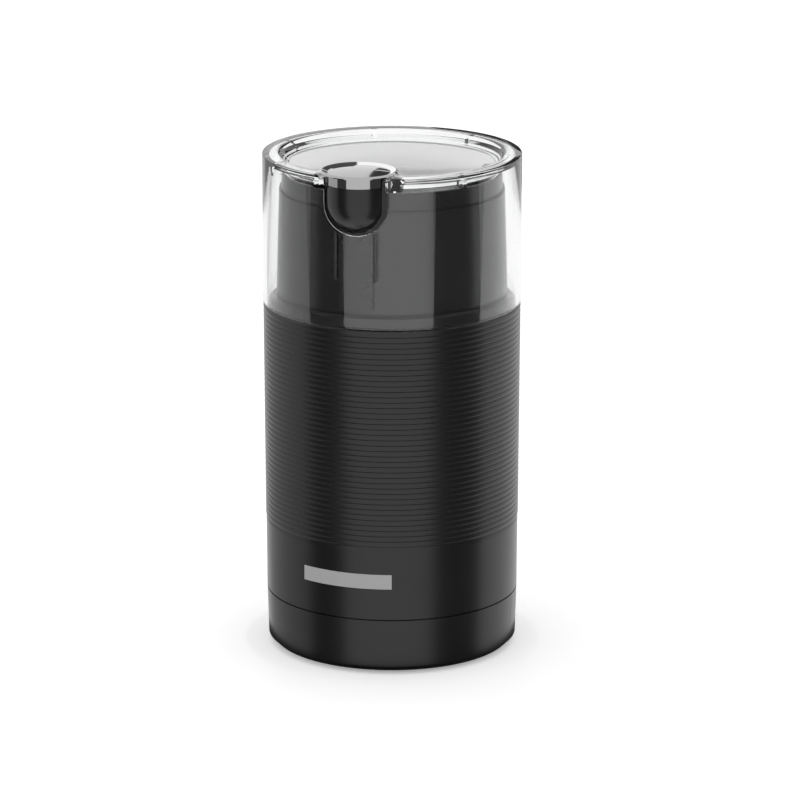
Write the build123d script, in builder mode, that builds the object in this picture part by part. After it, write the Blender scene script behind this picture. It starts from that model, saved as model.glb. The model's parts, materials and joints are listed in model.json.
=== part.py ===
from build123d import *
import math
import os

os.makedirs("parts", exist_ok=True)

# Blade coffee grinder. Sizes are in millimetres and Z is up. The feet stand on Z = 0, the motor
# turns about the Z axis, and the button is at the front, towards -Y.

# Outside of the housing
foot_lift = 1.0  # the base stays this far above the table
base_height = 19.6  # base cover, up to the seam with the body
body_height = 105.2  # body shell, up to the edge that the lid stands on
lid_height = 54.0
lid_radius = 46.0
body_inset = 0.3  # the body's top is this much narrower than the lid
body_taper = 0.5
base_taper = 0.5
base_edge = 2.0  # bevel round the bottom
shadow_line = 0.5  # height of the dark line between base and body
shadow_depth = 0.8

# Walls
base_wall = 2.3
base_floor = 2.5
body_wall = 2.6
lid_wall = 2.6
collar_wall = 1.5
bowl_wall = 0.8

# Clearances
fixed_gap = 0.1  # between pieces that are pushed or screwed together
running_gap = 0.05  # between the shaft and what it turns in
seat_gap = 0.3  # under a piece that rests on another body, and beside the switch pin
sliding_gap = 0.4  # round the ring and beside the push rod
barrel_gap = 0.3  # round the button

# Grip ribs round the body
grip_count = 20
grip_pitch = 3.9
grip_drop = 2.4  # first groove below the lid's edge
grip_rise = 0.2
grip_depth = 0.35

# Lid
lid_edge = 0.4  # bevel round the rim
lid_recess = 3.0  # the top plate lies this far below the rim
lid_plate = 2.2
rim_width = 6.1
rim_plate = 2.4
rim_slope = 1.6
recess_wall = 2.0
gusset_layout = 7  # six gussets and the button share the rim evenly
gusset_width = 1.8

# Collar and grinding bowl
neck_gap = 2.9  # air between the collar's neck and the lid's wall
step_drop = 12.8  # step of the collar below the lid's rim
lip_height = 6.4
lip_step = 0.8
bowl_inset = 0.6  # bowl's edge below the lip
flange_rise = 4.8
flange_bevel = 0.9
spigot_depth = 6.0
collar_depth = 8.3  # collar's floor below the lid's edge
collar_floor = 2.5
bowl_corner = 4.0
hub_radius = 9.0
hub_drop = 7.0

# Button
button_inset = 7.0  # the button's axis from the lid's outside
button_radius = 11.4
button_drop = 20.6  # the button's round end below the rim
button_travel = 1.0
ring_radius = 13.6
ring_proud = 1.6
ring_flange = 0.9
ring_bevel = 0.6
ring_band = 3.8
ring_wall = 0.9
ring_slope = 1.6  # width of the slope inside the ring
ring_fall = 1.2
dome_radius = 10.9
dome_rise = 1.0
dome_plate = 1.0
well_wall = 1.5
rod_width = 12.0
rod_thickness = 1.5
rod_grip = 8.0  # length of the rod inside the button
guide_width = 1.2
guide_rise = 17.2  # guide ribs above the lid's foot
guide_length = 17.0

# Feet, base screws and gland
foot_radius = 6.0
foot_inset = 10.7
foot_pocket = 0.8
foot_count = 3
screw_count = 3
screw_inset = 5.0
screw_radius = 1.5
screw_head_radius = 3.0
screw_head_height = 2.0
screw_rise = 10.6  # screw seats below the seam
screw_length = 26.0
boss_wall = 2.4
base_spigot_height = 4.5
base_spigot_wall = 1.6
base_shelf = 2.0
vent_count = 12
vent_width = 2.4
vent_web = 1.7
gland_radius = 5.0
gland_bore = 3.5
gland_flange = 1.4
gland_rim = 1.5
gland_proud = 0.2

# Motor
shaft_radius = 3.0
blade_seat_radius = 2.5
motor_share = 0.8333  # the stator's corner radius as a share of the body's inside
motor_hang = 20.0  # top strap below the collar's floor
motor_lift = 6.4  # bottom strap above the base's seam
stator_width_share = 1.52  # of the stator's corner radius, as the others up to the bolts
stator_depth_share = 1.3
yoke_side_share = 0.197
yoke_end_share = 0.14
pole_share = 0.59
rotor_share = 0.42
coil_share = 0.17
bolt_share = 0.045
bolt_head_share = 0.073
air_gap = 0.5
slot_count = 12
slot_width_share = 0.16  # of the rotor's radius
slot_depth_share = 0.4
winding_height = 6.0
winding_inset = 1.7
commutator_radius = 8.5
commutator_height = 11.0
commutator_slot = 0.7
commutator_slot_depth = 1.2
strap_width = 16.0
strap_thickness = 1.6
bearing_radius = 6.0
bearing_length = 6.4
cup_wall = 2.4
cup_stop = 0.8
top_strap_rise = 19.0  # top strap above the stack
bottom_strap_drop = 23.0  # bottom strap below the stack
bolt_head_height = 2.4
fan_gap = 0.8
fan_rise = 8.0  # fan plate above the stack
fan_plate = 1.2
fan_hub_radius = 5.0
vane_count = 9
vane_height = 5.0
vane_thickness = 1.2
brush_width = 4.8
brush_height = 3.8
brush_length = 12.0
brush_gap = 0.15
holder_wall = 1.0
holder_length = 15.0
holder_stand_off = 1.2  # from the commutator to the holder
leaf_thickness = 0.4
mount_inset = 8.5
mount_screw_radius = 1.35
damper_radius = 5.0
damper_height = 3.5
mount_boss_radius = 4.5
mount_screw_bite = 9.0
lower_damper_wall = 3.4
lower_damper_height = 6.0

# Blade and what holds it
bush_wall = 1.9
bush_flange_radius = 7.5
bush_flange = 1.1
seal_radius = 6.5
seal_height = 1.3
spacer_radius = 5.0
spacer_height = 1.8
blade_thickness = 1.2
blade_edge = 0.3
blade_root_width = 10.0
blade_tip_width = 7.0
blade_hub_radius = 6.5
blade_tip_gap = 4.0  # from the blade's tip to the bowl's wall
blade_twist = 14.0
blade_tip_rise = 3.0
nut_width = 8.0
nut_height = 4.0

# Switch
block_width = 18.0
block_depth = 8.0
block_height = 15.0
leaf_arm = 8.45  # from the leaf's root to the pin
block_post_radius = 3.5
block_post_height = 7.0
leaf_width = 6.0
leaf_drop = 5.0  # leaf below the collar's floor
contact_reach = 6.5
contact_radius = 1.5
contact_place = 5.0  # rivet from the block's outer face

# Heights that the sizes above lead to
base_z = foot_lift
seam_z = base_z + base_height
shoulder_z = seam_z + body_height
rim_z = shoulder_z + lid_height
flange_z = shoulder_z + flange_rise
spigot_z = shoulder_z - spigot_depth
collar_floor_z = shoulder_z - collar_depth
collar_under_z = collar_floor_z - collar_floor
step_z = rim_z - step_drop
lip_z = step_z + lip_height
bowl_top_z = lip_z - bowl_inset
bowl_floor_z = collar_floor_z + fixed_gap + bowl_wall
top_strap_z = collar_under_z - motor_hang
bottom_strap_z = seam_z + motor_lift
stack_top = top_strap_z - top_strap_rise
stack_bottom = bottom_strap_z + bottom_strap_drop
stack_height = stack_top - stack_bottom
boss_z = seam_z + base_spigot_height
screw_recess = base_height - screw_rise

# Radii that the sizes above lead to
body_top_radius = lid_radius - body_inset
body_bottom_radius = body_top_radius - body_taper
base_bottom_radius = body_bottom_radius - base_taper
body_inner = body_bottom_radius - body_wall
lid_inner = lid_radius - lid_wall
rim_inner_radius = lid_radius - rim_width
recess_radius = rim_inner_radius - rim_slope
collar_radius = lid_inner - neck_gap
button_orbit = lid_radius - button_inset
foot_orbit = base_bottom_radius - foot_inset
screw_orbit = body_inner - screw_inset
mount_offset = collar_radius - mount_inset
flange_radius = lid_inner - seat_gap
bowl_radius = collar_radius - collar_wall - fixed_gap
bowl_inner = bowl_radius - bowl_wall
pin_orbit = (collar_radius + body_inner) / 2
pin_radius = (body_inner - collar_radius) / 2 - seat_gap
rod_middle = (collar_radius + lid_inner) / 2
bore_radius = shaft_radius + running_gap
bush_radius = bore_radius + bush_wall
pivot_y = pin_orbit - leaf_arm
block_front = pivot_y - fixed_gap
motor_radius = motor_share * body_inner
rotor_radius = rotor_share * motor_radius
slot_width = slot_width_share * rotor_radius
slot_depth = slot_depth_share * rotor_radius
bolt_radius = bolt_share * motor_radius
bolt_head_radius = bolt_head_share * motor_radius
winding_radius = rotor_radius - winding_inset


def body_radius(height):
    """Outer radius of the body's plain wall, which tapers a little towards the base."""
    share = (height - seam_z) / body_height
    return body_bottom_radius + (body_top_radius - body_bottom_radius) * share


def outline(*points, plane=Plane.XZ):
    """Closed flat face through the given points, ready to revolve or extrude."""
    with BuildSketch(plane) as face:
        with BuildLine():
            Polyline(*points, close=True)
        make_face()
    return face.sketch


# Base cover: a shallow tray with a spigot inside the body, screw bosses, a damper socket and vents
base_inner = base_bottom_radius - base_wall
spigot_radius = body_inner - fixed_gap
spigot_inner = spigot_radius - base_spigot_wall
shelf_radius = body_bottom_radius - shadow_depth
floor_z = base_z + base_floor
screw_boss_radius = screw_radius + fixed_gap + boss_wall
cup_radius = bearing_radius + fixed_gap + cup_wall
socket_bore = cup_radius + lower_damper_wall + 2 * fixed_gap
socket_top = bottom_strap_z - seat_gap
socket_ledge = socket_top - lower_damper_height
gland_z = base_z + base_height / 2
vent_start = socket_bore + boss_wall + vent_web
vent_end = foot_orbit - foot_radius - vent_web
with BuildPart() as base_cover:
    with BuildSketch(Plane.XZ) as tray:
        with BuildLine():
            Polyline(
                (0, base_z),
                (base_bottom_radius, base_z),
                (body_bottom_radius, seam_z - shadow_line),
                (shelf_radius, seam_z - shadow_line),
                (shelf_radius, seam_z),
                (spigot_radius, seam_z),
                (spigot_radius, boss_z),
                (spigot_inner, boss_z),
                (spigot_inner, seam_z - base_shelf),
                (base_inner, seam_z - base_shelf),
                (base_inner, floor_z),
                (0, floor_z),
                close=True,
            )
        make_face()
        chamfer(tray.vertices().group_by(Axis.Y)[0].sort_by(Axis.X)[-1], base_edge)
    revolve(axis=Axis.Z)
    with BuildSketch(Plane.XY.offset(floor_z)):
        Circle(socket_bore + boss_wall)
    extrude(amount=socket_top - floor_z)
    with BuildSketch(Plane.XY.offset(floor_z)):
        with PolarLocations(screw_orbit, screw_count, start_angle=-90):
            Circle(screw_boss_radius)
    extrude(amount=boss_z - floor_z)
    with BuildSketch(Plane.XY.offset(socket_ledge)):
        Circle(socket_bore)
    extrude(amount=lower_damper_height, mode=Mode.SUBTRACT)
    with BuildSketch(Plane.XY.offset(floor_z)):
        Circle(socket_bore - lower_damper_wall / 2)
    extrude(amount=socket_ledge - floor_z, mode=Mode.SUBTRACT)
    with BuildSketch(Plane.XY.offset(base_z)):
        with PolarLocations(foot_orbit, foot_count, start_angle=90):
            Circle(foot_radius + fixed_gap)
    extrude(amount=foot_pocket, mode=Mode.SUBTRACT)
    with BuildSketch(Plane.XY.offset(base_z)):
        with PolarLocations(screw_orbit, screw_count, start_angle=-90):
            Circle(screw_head_radius + fixed_gap)
    extrude(amount=screw_recess, mode=Mode.SUBTRACT)
    with BuildSketch(Plane.XY.offset(base_z)):
        with PolarLocations(screw_orbit, screw_count, start_angle=-90):
            Circle(screw_radius + fixed_gap)
    extrude(amount=boss_z - base_z, mode=Mode.SUBTRACT)
    with BuildSketch(Plane.XY.offset(base_z)):
        with PolarLocations((vent_start + vent_end) / 2, vent_count, start_angle=180 / vent_count):
            Rectangle(vent_end - vent_start, vent_width)
    extrude(amount=base_floor, mode=Mode.SUBTRACT)
    with BuildSketch(Plane.XZ.offset(-base_inner + gland_flange)):
        with Locations((0, gland_z)):
            Circle(gland_radius + fixed_gap)
    extrude(amount=-(base_wall + gland_flange + shadow_depth), mode=Mode.SUBTRACT)

# Three rubber pads let into the underside
with BuildPart() as feet:
    with BuildSketch():
        with PolarLocations(foot_orbit, foot_count, start_angle=90):
            Circle(foot_radius)
    extrude(amount=foot_lift + foot_pocket)

# Screws from below that hold the base cover to the body
screw_head_z = base_z + screw_recess - screw_head_height
with BuildPart() as base_screws:
    with BuildSketch(Plane.XY.offset(screw_head_z)):
        with PolarLocations(screw_orbit, screw_count, start_angle=-90):
            Circle(screw_head_radius)
    extrude(amount=screw_head_height)
    with BuildSketch(Plane.XY.offset(base_z + screw_recess)):
        with PolarLocations(screw_orbit, screw_count, start_angle=-90):
            Circle(screw_radius)
    extrude(amount=screw_length)

# Rubber gland in the back wall of the base, where the lead goes in
gland_outer = base_bottom_radius + (body_bottom_radius - base_bottom_radius) / 2 + gland_proud
with BuildPart() as cord_gland:
    with BuildSketch(Plane.XZ.offset(-gland_outer)):
        with Locations((0, gland_z)):
            Circle(gland_radius)
            Circle(gland_bore, mode=Mode.SUBTRACT)
    extrude(amount=gland_outer - base_inner + gland_rim)
    with BuildSketch(Plane.XZ.offset(-base_inner + gland_flange + gland_rim)):
        with Locations((0, gland_z)):
            Circle(gland_radius + gland_rim)
            Circle(gland_bore, mode=Mode.SUBTRACT)
    extrude(amount=-gland_rim)

# Body shell: a tapered sleeve with horizontal grip ribs, a bore for the collar and screw bosses
grip_line = []
for rib in range(grip_count):
    valley = shoulder_z - grip_drop - rib * grip_pitch
    crest = valley - grip_pitch / 2
    grip_line.append((body_radius(valley) + grip_rise - grip_depth, valley))
    grip_line.append((body_radius(crest) + grip_rise, crest))
grip_end = shoulder_z - grip_drop - grip_count * grip_pitch
screw_top = base_z + screw_recess + screw_length
with BuildPart() as body_shell:
    wall = outline(
        (body_radius(shoulder_z) + grip_rise, shoulder_z),
        *grip_line,
        (body_radius(grip_end), grip_end),
        (body_bottom_radius, seam_z),
        (body_inner, seam_z),
        (body_inner, spigot_z),
        (flange_radius + fixed_gap, spigot_z),
        (flange_radius + fixed_gap, shoulder_z),
    )
    revolve(wall, axis=Axis.Z)
    with BuildSketch(Plane.XY.offset(boss_z + fixed_gap)):
        with PolarLocations(screw_orbit, screw_count, start_angle=-90):
            Circle(screw_boss_radius)
        with PolarLocations((screw_orbit + body_inner + fixed_gap) / 2, screw_count, start_angle=-90):
            Rectangle(body_inner + fixed_gap - screw_orbit, screw_boss_radius)
    extrude(amount=screw_top + screw_head_height - boss_z)
    with BuildSketch(Plane.XY.offset(boss_z + fixed_gap)):
        with PolarLocations(screw_orbit, screw_count, start_angle=-90):
            Circle(screw_radius + fixed_gap)
    extrude(amount=screw_top - boss_z, mode=Mode.SUBTRACT)

# Collar: the black neck that the bowl hangs in, with the lid's seat round its foot
post_place = -(block_front - block_depth / 2)
mount_boss_z = top_strap_z + strap_thickness + damper_height + 2 * fixed_gap
collar_inner = collar_radius - collar_wall
with BuildPart() as bowl_collar:
    neck = outline(
        (bush_radius + fixed_gap, collar_under_z - hub_drop),
        (hub_radius, collar_under_z - hub_drop),
        (hub_radius, collar_under_z),
        (collar_radius, collar_under_z),
        (collar_radius, spigot_z),
        (flange_radius, spigot_z),
        (flange_radius, flange_z - flange_bevel),
        (flange_radius - flange_bevel, flange_z),
        (collar_radius, flange_z),
        (collar_radius, step_z),
        (collar_radius - lip_step, step_z),
        (collar_radius - lip_step, lip_z),
        (collar_inner, lip_z),
        (collar_inner, collar_floor_z),
        (bush_radius + fixed_gap, collar_floor_z),
    )
    revolve(neck, axis=Axis.Z)
    with BuildSketch(Plane.XY.offset(mount_boss_z)):
        with Locations((mount_offset, 0), (-mount_offset, 0)):
            Circle(mount_boss_radius)
    extrude(amount=collar_floor_z - mount_boss_z - collar_floor / 2)
    with BuildSketch(Plane.XY.offset(collar_under_z - block_post_height)):
        with Locations((0, post_place)):
            Circle(block_post_radius)
    extrude(amount=block_post_height + collar_floor / 2)
    with BuildSketch(Plane.XY.offset(mount_boss_z)):
        with Locations((mount_offset, 0), (-mount_offset, 0)):
            Circle(mount_screw_radius + running_gap)
    extrude(amount=mount_screw_bite + fixed_gap, mode=Mode.SUBTRACT)
    with BuildSketch(Plane.XY.offset(collar_under_z - block_post_height)):
        with Locations((0, post_place)):
            Circle(mount_screw_radius + running_gap)
    extrude(amount=block_post_height, mode=Mode.SUBTRACT)
    with BuildSketch(Plane.XY.offset(spigot_z)):
        with Locations((0, -pin_orbit)):
            Circle(pin_radius + running_gap)
    extrude(amount=flange_rise + spigot_depth, mode=Mode.SUBTRACT)

# Steel grinding bowl, a thin cup that lines the collar
bowl_under_z = collar_floor_z + fixed_gap
with BuildPart() as grinding_bowl:
    cup = outline(
        (bush_radius + fixed_gap, bowl_under_z),
        (bowl_radius - bowl_corner, bowl_under_z),
        (bowl_radius, bowl_under_z + bowl_corner),
        (bowl_radius, bowl_top_z),
        (bowl_inner, bowl_top_z),
        (bowl_inner, bowl_floor_z + bowl_corner - bowl_wall / 2),
        (bowl_inner - bowl_corner + bowl_wall / 2, bowl_floor_z),
        (bush_radius + fixed_gap, bowl_floor_z),
    )
    revolve(cup, axis=Axis.Z)

# Flanged bush that clamps the bowl to the collar and guides the shaft, with a seal on top
bush_z = collar_under_z - hub_drop + fixed_gap
flange_top_z = bowl_floor_z + fixed_gap + bush_flange
with BuildPart() as bowl_bush:
    sleeve = outline(
        (bore_radius, bush_z),
        (bush_radius, bush_z),
        (bush_radius, bowl_floor_z + fixed_gap),
        (bush_flange_radius, bowl_floor_z + fixed_gap),
        (bush_flange_radius, flange_top_z),
        (bore_radius, flange_top_z),
    )
    revolve(sleeve, axis=Axis.Z)

with BuildPart() as shaft_seal:
    with BuildSketch(Plane.XY.offset(flange_top_z)):
        Circle(seal_radius)
        Circle(bore_radius + running_gap, mode=Mode.SUBTRACT)
    extrude(amount=seal_height)

# Motor stator: laminated frame with two poles, and a coil on each pole
stator_width = stator_width_share * motor_radius
stator_depth = stator_depth_share * motor_radius
yoke_side = yoke_side_share * motor_radius
yoke_end = yoke_end_share * motor_radius
pole_width = pole_share * motor_radius
window_width = stator_width - 2 * yoke_side
window_depth = stator_depth - 2 * yoke_end
bolt_place = (stator_width - yoke_side) / 2
bore_of_stator = rotor_radius + air_gap
with BuildPart() as stator_core:
    with BuildSketch(Plane.XY.offset(stack_bottom)):
        Rectangle(stator_width, stator_depth)
        Rectangle(window_width, window_depth, mode=Mode.SUBTRACT)
        Rectangle(window_width, pole_width)
        Circle(bore_of_stator, mode=Mode.SUBTRACT)
        with Locations((bolt_place, 0), (-bolt_place, 0)):
            Circle(bolt_radius + fixed_gap, mode=Mode.SUBTRACT)
    extrude(amount=stack_height)

leg_outer = bolt_place - bolt_head_radius - 2 * fixed_gap
leg_inner = leg_outer - strap_thickness
coil_width = coil_share * motor_radius
coil_thickness = leg_inner - seat_gap - rotor_radius - air_gap
coil_middle = leg_inner - seat_gap - coil_thickness / 2
coil_hole = pole_width + 2 * seat_gap
coil_hole_height = stack_height + 2 * seat_gap
stack_middle = stack_bottom + stack_height / 2
with BuildPart() as field_coils:
    for side in (coil_middle, -coil_middle):
        with BuildSketch(Plane.YZ.offset(side)):
            with Locations((0, stack_middle)):
                Rectangle(coil_hole + 2 * coil_width, coil_hole_height + 2 * coil_width)
                Rectangle(coil_hole, coil_hole_height, mode=Mode.SUBTRACT)
        extrude(amount=coil_thickness / 2, both=True)

# Bent steel straps above and below the stack, each with a bearing cup
strap_end = mount_offset + damper_radius
top_cup_z = top_strap_z - bearing_length - fixed_gap
with BuildPart() as motor_top_bracket:
    with BuildSketch(Plane.XZ):
        with BuildLine():
            Polyline(
                (0, top_strap_z + strap_thickness),
                (strap_end, top_strap_z + strap_thickness),
                (strap_end, top_strap_z),
                (leg_outer, top_strap_z),
                (leg_outer, stack_top + strap_thickness),
                (stator_width / 2, stack_top + strap_thickness),
                (stator_width / 2, stack_top),
                (leg_inner, stack_top),
                (leg_inner, top_strap_z),
                (0, top_strap_z),
            )
            mirror(about=Plane.YZ)
        make_face()
    extrude(amount=strap_width / 2, both=True)
    with BuildSketch(Plane.XY.offset(top_cup_z)):
        Circle(cup_radius)
    extrude(amount=top_strap_z - top_cup_z)
    with BuildSketch(Plane.XY.offset(top_cup_z)):
        Circle(bearing_radius + fixed_gap)
    extrude(amount=bearing_length, mode=Mode.SUBTRACT)
    with BuildSketch(Plane.XY.offset(top_cup_z)):
        Circle(shaft_radius + cup_stop)
        with Locations((mount_offset, 0), (-mount_offset, 0)):
            Circle(mount_screw_radius + sliding_gap)
    extrude(amount=top_strap_rise, mode=Mode.SUBTRACT)
    with BuildSketch(Plane.XY.offset(stack_top)):
        with Locations((bolt_place, 0), (-bolt_place, 0)):
            Circle(bolt_radius + fixed_gap)
    extrude(amount=strap_thickness, mode=Mode.SUBTRACT)

holder_start = commutator_radius + holder_stand_off
holder_height = brush_height + 2 * holder_wall
commutator_z = stack_bottom - winding_height - commutator_height
brush_z = commutator_z + commutator_height / 2
bottom_cup_z = bottom_strap_z - bearing_length - fixed_gap - cup_stop
post_top = brush_z - holder_height / 2
post_middle = holder_start + holder_length / 2
with BuildPart() as motor_bottom_bracket:
    with BuildSketch(Plane.XZ):
        with BuildLine():
            Polyline(
                (0, bottom_strap_z),
                (leg_outer, bottom_strap_z),
                (leg_outer, stack_bottom - strap_thickness),
                (stator_width / 2, stack_bottom - strap_thickness),
                (stator_width / 2, stack_bottom),
                (leg_inner, stack_bottom),
                (leg_inner, bottom_strap_z + strap_thickness),
                (0, bottom_strap_z + strap_thickness),
            )
            mirror(about=Plane.YZ)
        make_face()
    extrude(amount=strap_width / 2, both=True)
    with BuildSketch(Plane.XY.offset(bottom_strap_z)):
        Rectangle(strap_width / 2, 2 * (holder_start + holder_length))
    extrude(amount=strap_thickness)
    with BuildSketch(Plane.XY.offset(bottom_strap_z)):
        with Locations((0, post_middle), (0, -post_middle)):
            Rectangle(brush_width, holder_length / 2)
    extrude(amount=post_top - bottom_strap_z)
    with BuildSketch(Plane.XY.offset(bottom_cup_z)):
        Circle(cup_radius)
    extrude(amount=bottom_strap_z - bottom_cup_z)
    with BuildSketch(Plane.XY.offset(bottom_cup_z + cup_stop)):
        Circle(bearing_radius + fixed_gap)
    extrude(amount=bearing_length + fixed_gap + strap_thickness, mode=Mode.SUBTRACT)
    with BuildSketch(Plane.XY.offset(stack_bottom - strap_thickness)):
        with Locations((bolt_place, 0), (-bolt_place, 0)):
            Circle(bolt_radius + fixed_gap)
    extrude(amount=strap_thickness, mode=Mode.SUBTRACT)

# Sintered bearings in the two cups
with BuildPart() as top_bearing:
    with BuildSketch(Plane.XY.offset(top_cup_z)):
        Circle(bearing_radius)
        Circle(bore_radius, mode=Mode.SUBTRACT)
    extrude(amount=bearing_length)

with BuildPart() as bottom_bearing:
    with BuildSketch(Plane.XY.offset(bottom_cup_z + cup_stop)):
        Circle(bearing_radius)
        Circle(bore_radius, mode=Mode.SUBTRACT)
    extrude(amount=bearing_length)

# Two bolts that clamp the straps to the stack
with BuildPart() as motor_bolts:
    with BuildSketch(Plane.XY.offset(stack_bottom - strap_thickness)):
        with Locations((bolt_place, 0), (-bolt_place, 0)):
            Circle(bolt_radius)
    extrude(amount=stack_height + 2 * strap_thickness)
    with BuildSketch(Plane.XY.offset(stack_bottom - strap_thickness)):
        with Locations((bolt_place, 0), (-bolt_place, 0)):
            RegularPolygon(bolt_head_radius, 6)
    extrude(amount=-bolt_head_height)
    with BuildSketch(Plane.XY.offset(stack_top + strap_thickness)):
        with Locations((bolt_place, 0), (-bolt_place, 0)):
            RegularPolygon(bolt_head_radius, 6)
    extrude(amount=bolt_head_height)

# Rubber dampers and screws that hang the motor from the collar, and the ring round its foot
damper_z = top_strap_z + strap_thickness + fixed_gap
with BuildPart() as motor_dampers:
    with BuildSketch(Plane.XY.offset(damper_z)):
        with Locations((mount_offset, 0), (-mount_offset, 0)):
            Circle(damper_radius)
            Circle(mount_screw_radius + sliding_gap, mode=Mode.SUBTRACT)
    extrude(amount=damper_height)

with BuildPart() as motor_mount_screws:
    with BuildSketch(Plane.XY.offset(top_strap_z)):
        with Locations((mount_offset, 0), (-mount_offset, 0)):
            Circle(screw_head_radius)
    extrude(amount=-screw_head_height)
    with BuildSketch(Plane.XY.offset(top_strap_z)):
        with Locations((mount_offset, 0), (-mount_offset, 0)):
            Circle(mount_screw_radius)
    extrude(amount=mount_boss_z + mount_screw_bite - top_strap_z)

with BuildPart() as lower_damper:
    with BuildSketch(Plane.XY.offset(socket_ledge)):
        Circle(socket_bore - fixed_gap)
        Circle(cup_radius + fixed_gap, mode=Mode.SUBTRACT)
    extrude(amount=lower_damper_height)

# Brush gear: brass holders, carbon brushes and the leaf springs behind them
brush_start = commutator_radius + brush_gap
holder_end = holder_start + holder_length
with BuildPart() as brush_holders:
    for front in (1, -1):
        with BuildSketch(Plane.XZ.offset(front * holder_start)):
            with Locations((0, brush_z)):
                Rectangle(brush_width + 2 * holder_wall, holder_height)
                Rectangle(brush_width + 2 * fixed_gap, brush_height + 2 * fixed_gap, mode=Mode.SUBTRACT)
        extrude(amount=front * holder_length)

with BuildPart() as carbon_brushes:
    for front in (1, -1):
        with BuildSketch(Plane.XZ.offset(front * brush_start)):
            with Locations((0, brush_z)):
                Rectangle(brush_width, brush_height)
        extrude(amount=front * brush_length)

brush_end = brush_start + brush_length
spring_reach = holder_end - brush_end
with BuildPart() as brush_springs:
    for front in (1, -1):
        bent_leaf = outline(
            (-front * brush_end, brush_z - brush_height / 2),
            (-front * brush_end, brush_z + brush_height / 2),
            (-front * (brush_end + spring_reach), brush_z),
            (-front * (brush_end + spring_reach), brush_z - leaf_thickness),
            (-front * (brush_end + leaf_thickness), brush_z + brush_height / 2 - 2 * leaf_thickness),
            (-front * (brush_end + leaf_thickness), brush_z - brush_height / 2),
            plane=Plane.YZ,
        )
        extrude(bent_leaf, amount=brush_width / 2 - leaf_thickness, both=True)

# Rotor: shaft, slotted armature, windings, commutator and fan
spacer_z = flange_top_z + seal_height + seat_gap
blade_z = spacer_z + spacer_height
nut_z = blade_z + blade_thickness
shaft_foot = bottom_cup_z + cup_stop + fixed_gap
with BuildPart() as motor_shaft:
    rod_outline = outline(
        (0, shaft_foot),
        (shaft_radius, shaft_foot),
        (shaft_radius, blade_z),
        (blade_seat_radius, blade_z),
        (blade_seat_radius, nut_z + nut_height * 0.8),
        (0, nut_z + nut_height * 0.8),
    )
    revolve(rod_outline, axis=Axis.Z)

slot_middle = rotor_radius - slot_depth / 2
with BuildPart() as armature_core:
    with BuildSketch(Plane.XY.offset(stack_bottom)):
        Circle(rotor_radius)
        Circle(bore_radius, mode=Mode.SUBTRACT)
        with PolarLocations(slot_middle, slot_count):
            Rectangle(slot_depth + air_gap, slot_width, mode=Mode.SUBTRACT)
    extrude(amount=stack_height)

winding_bar = slot_depth - 2 * air_gap
with BuildPart() as armature_windings:
    for end_z in (stack_bottom - winding_height, stack_top + fixed_gap):
        with BuildSketch(Plane.XY.offset(end_z)):
            RegularPolygon(winding_radius, slot_count)
            Circle(bore_radius, mode=Mode.SUBTRACT)
        extrude(amount=winding_height - fixed_gap)
    with BuildSketch(Plane.XY.offset(stack_bottom - winding_height)):
        with PolarLocations(slot_middle, slot_count):
            Rectangle(winding_bar, slot_width - 2 * seat_gap)
    extrude(amount=stack_height + 2 * winding_height)

with BuildPart() as commutator:
    with BuildSketch(Plane.XY.offset(commutator_z)):
        Circle(commutator_radius)
        Circle(bore_radius, mode=Mode.SUBTRACT)
        with PolarLocations(commutator_radius, slot_count):
            Rectangle(2 * commutator_slot_depth, commutator_slot, mode=Mode.SUBTRACT)
    extrude(amount=commutator_height - fixed_gap)

fan_z = stack_top + fan_rise
fan_radius = leg_inner - fan_gap
vane_length = fan_radius - cup_radius - fan_gap
with BuildPart() as cooling_fan:
    with BuildSketch(Plane.XY.offset(fan_z)):
        Circle(fan_radius)
    extrude(amount=fan_plate)
    with BuildSketch(Plane.XY.offset(stack_top + winding_height)):
        Circle(fan_hub_radius)
    extrude(amount=top_cup_z - stack_top - winding_height - seat_gap)
    with BuildSketch(Plane.XY.offset(fan_z)):
        with PolarLocations(fan_radius - vane_length / 2, vane_count):
            Rectangle(vane_length, vane_thickness)
    extrude(amount=fan_plate + vane_height)
    with BuildSketch(Plane.XY.offset(stack_top)):
        Circle(bore_radius)
    extrude(amount=top_cup_z - stack_top, mode=Mode.SUBTRACT)

# Blade: two twisted wings on a flat hub, held between a spacer and a nut
with BuildPart() as blade_spacer:
    with BuildSketch(Plane.XY.offset(spacer_z)):
        Circle(spacer_radius)
        Circle(bore_radius, mode=Mode.SUBTRACT)
    extrude(amount=spacer_height - fixed_gap)

blade_reach = bowl_inner - blade_tip_gap
wing_stations = (
    (blade_hub_radius / 2, blade_root_width, 0.0, 0.0),
    (blade_reach / 2, (blade_root_width + blade_tip_width) / 2, blade_twist / 2, blade_tip_rise / 4),
    (blade_reach, blade_tip_width, blade_twist, blade_tip_rise),
)
with BuildPart() as blade:
    for turn in (0, 180):
        for reach, width, twist, rise in wing_stations:
            middle = Vector(reach, 0, blade_z + blade_thickness / 2 + rise).rotate(Axis.Z, turn)
            along = Vector(1, 0, 0).rotate(Axis.Z, turn)
            across = Vector(0, math.cos(math.radians(twist)), math.sin(math.radians(twist)))
            station = Plane(middle, x_dir=across.rotate(Axis.Z, turn), z_dir=along)
            with BuildSketch(station):
                with BuildLine():
                    Polyline(
                        (-width / 2, -blade_thickness / 2),
                        (width / 2, -blade_edge / 2),
                        (width / 2, blade_edge / 2),
                        (-width / 2, blade_thickness / 2),
                        close=True,
                    )
                make_face()
        loft(ruled=True)
    with BuildSketch(Plane.XY.offset(blade_z)):
        Circle(blade_hub_radius)
    extrude(amount=blade_thickness)
    with BuildSketch(Plane.XY.offset(blade_z)):
        Circle(blade_seat_radius + running_gap)
    extrude(amount=blade_thickness, mode=Mode.SUBTRACT)

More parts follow.
